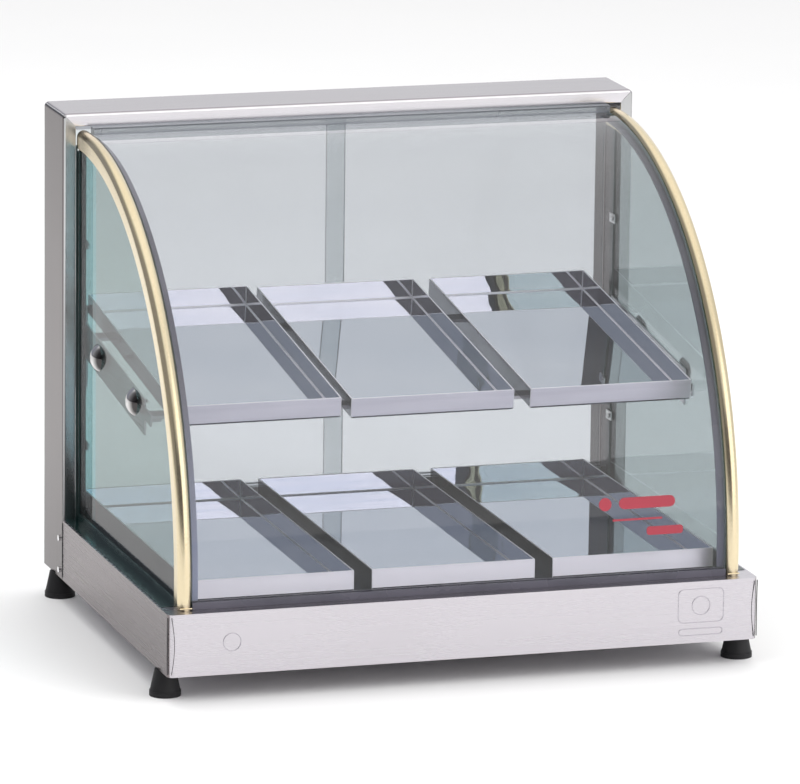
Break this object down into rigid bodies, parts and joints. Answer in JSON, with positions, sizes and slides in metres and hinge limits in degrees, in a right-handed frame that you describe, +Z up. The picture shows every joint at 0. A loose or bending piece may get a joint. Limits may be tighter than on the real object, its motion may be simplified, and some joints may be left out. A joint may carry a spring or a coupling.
{
  "type": "heated countertop bakery display case",
  "caption": "Heated countertop food display case: steel base and rear frame, curved front glass, gold edge covers, two rows of trays, sliding rear doors.",
  "frame": {"origin": "on the countertop under the middle of the case (bounding box bottom centre)", "axes": "+X to the right as the customer sees the front, +Y to the rear, +Z up"},
  "size_m": [0.657, 0.51, 0.538],
  "materials": {
    "brushed_steel": "brushed, satin",
    "polished_steel": "mirror polished",
    "bracket_steel": "satin",
    "screw_steel": "zinc plated",
    "chrome": "polished",
    "clear_glass": "clear, faint blue",
    "green_glass": "clear, green tint",
    "gold_trim": "polished",
    "aluminium": "satin anodised",
    "foot_rubber": "moulded",
    "dark_seal": "smooth",
    "element_steel": "heat darkened",
    "copper": "drawn",
    "cream_plastic": "moulded",
    "black_plastic": "moulded",
    "red_plastic": "moulded",
    "amber_lens": "translucent look",
    "wire_insulation": "smooth"
  },
  "bodies": {
    "root": {"base_shell": "brushed_steel", "bottom_cover": "brushed_steel", "rear_panel": "brushed_steel", "rear_post_left": "brushed_steel", "rear_post_right": "brushed_steel", "top_beam": "brushed_steel", "heat_shield": "brushed_steel", "deck_plate": "polished_steel", "shelf_bracket_left": "bracket_steel", "shelf_bracket_right": "bracket_steel", "shelf_bar_front": "bracket_steel", "shelf_bar_rear": "bracket_steel", "cover_screws": "screw_steel", "foot_bolts": "screw_steel", "post_screws": "screw_steel", "glass_clips": "screw_steel", "bracket_nuts": "screw_steel", "element_clips": "screw_steel", "bracket_bolts": "chrome", "front_glass": "clear_glass", "side_glass_left": "green_glass", "side_glass_right": "green_glass", "edge_trim_left": "gold_trim", "edge_trim_right": "gold_trim", "door_track_top": "aluminium", "door_track_bottom": "aluminium", "foot_front_left": "foot_rubber", "foot_front_right": "foot_rubber", "foot_rear_left": "foot_rubber", "foot_rear_right": "foot_rubber", "edge_seal_left": "dark_seal", "edge_seal_right": "dark_seal", "bottom_seal": "dark_seal", "top_seal": "dark_seal", "side_gasket_left": "dark_seal", "side_gasket_right": "dark_seal", "heating_element": "element_steel", "thermostat_bulb": "copper", "thermostat_body": "cream_plastic", "terminal_block": "cream_plastic", "switch_housing": "black_plastic", "cable_gland": "black_plastic", "pilot_lamp": "amber_lens", "internal_wires": "wire_insulation"},
    "door_left": {"sliding_door_left": "clear_glass", "door_pull_left": "aluminium"},
    "door_right": {"sliding_door_right": "clear_glass", "door_pull_right": "aluminium"},
    "knob": {"thermostat_knob": "black_plastic", "thermostat_shaft": "screw_steel"},
    "rocker": {"switch_rocker": "red_plastic"},
    "upper_tray_left": {"upper_tray_left": "polished_steel"},
    "upper_tray_middle": {"upper_tray_middle": "polished_steel"},
    "upper_tray_right": {"upper_tray_right": "polished_steel"},
    "lower_tray_left": {"lower_tray_left": "polished_steel"},
    "lower_tray_middle": {"lower_tray_middle": "polished_steel"},
    "lower_tray_right": {"lower_tray_right": "polished_steel"}
  },
  "joints": [
    {"name": "door_left_slide", "type": "slide", "parent": "root", "child": "door_left", "axis": [1, 0, 0], "range_m": [0, 0.285]},
    {"name": "door_right_slide", "type": "slide", "parent": "root", "child": "door_right", "axis": [-1, 0, 0], "range_m": [0, 0.285]},
    {"name": "thermostat_turn", "type": "hinge", "parent": "root", "child": "knob", "pos_m": [0.215, 0.233, 0.062], "axis": [0, -1, 0], "range_deg": [0, 270]},
    {"name": "switch_rock", "type": "hinge", "parent": "root", "child": "rocker", "pos_m": [0.136, 0.2305, 0.062], "axis": [0, 0, 1], "range_deg": [0, 20]},
    {"name": "upper_tray_left_lift", "type": "slide", "parent": "root", "child": "upper_tray_left", "axis": [0, 0, 1], "range_m": [0, 0.03]},
    {"name": "upper_tray_middle_lift", "type": "slide", "parent": "root", "child": "upper_tray_middle", "axis": [0, 0, 1], "range_m": [0, 0.03]},
    {"name": "upper_tray_right_lift", "type": "slide", "parent": "root", "child": "upper_tray_right", "axis": [0, 0, 1], "range_m": [0, 0.03]},
    {"name": "lower_tray_left_lift", "type": "slide", "parent": "root", "child": "lower_tray_left", "axis": [0, 0, 1], "range_m": [0, 0.03]},
    {"name": "lower_tray_middle_lift", "type": "slide", "parent": "root", "child": "lower_tray_middle", "axis": [0, 0, 1], "range_m": [0, 0.03]},
    {"name": "lower_tray_right_lift", "type": "slide", "parent": "root", "child": "lower_tray_right", "axis": [0, 0, 1], "range_m": [0, 0.03]}
  ]
}
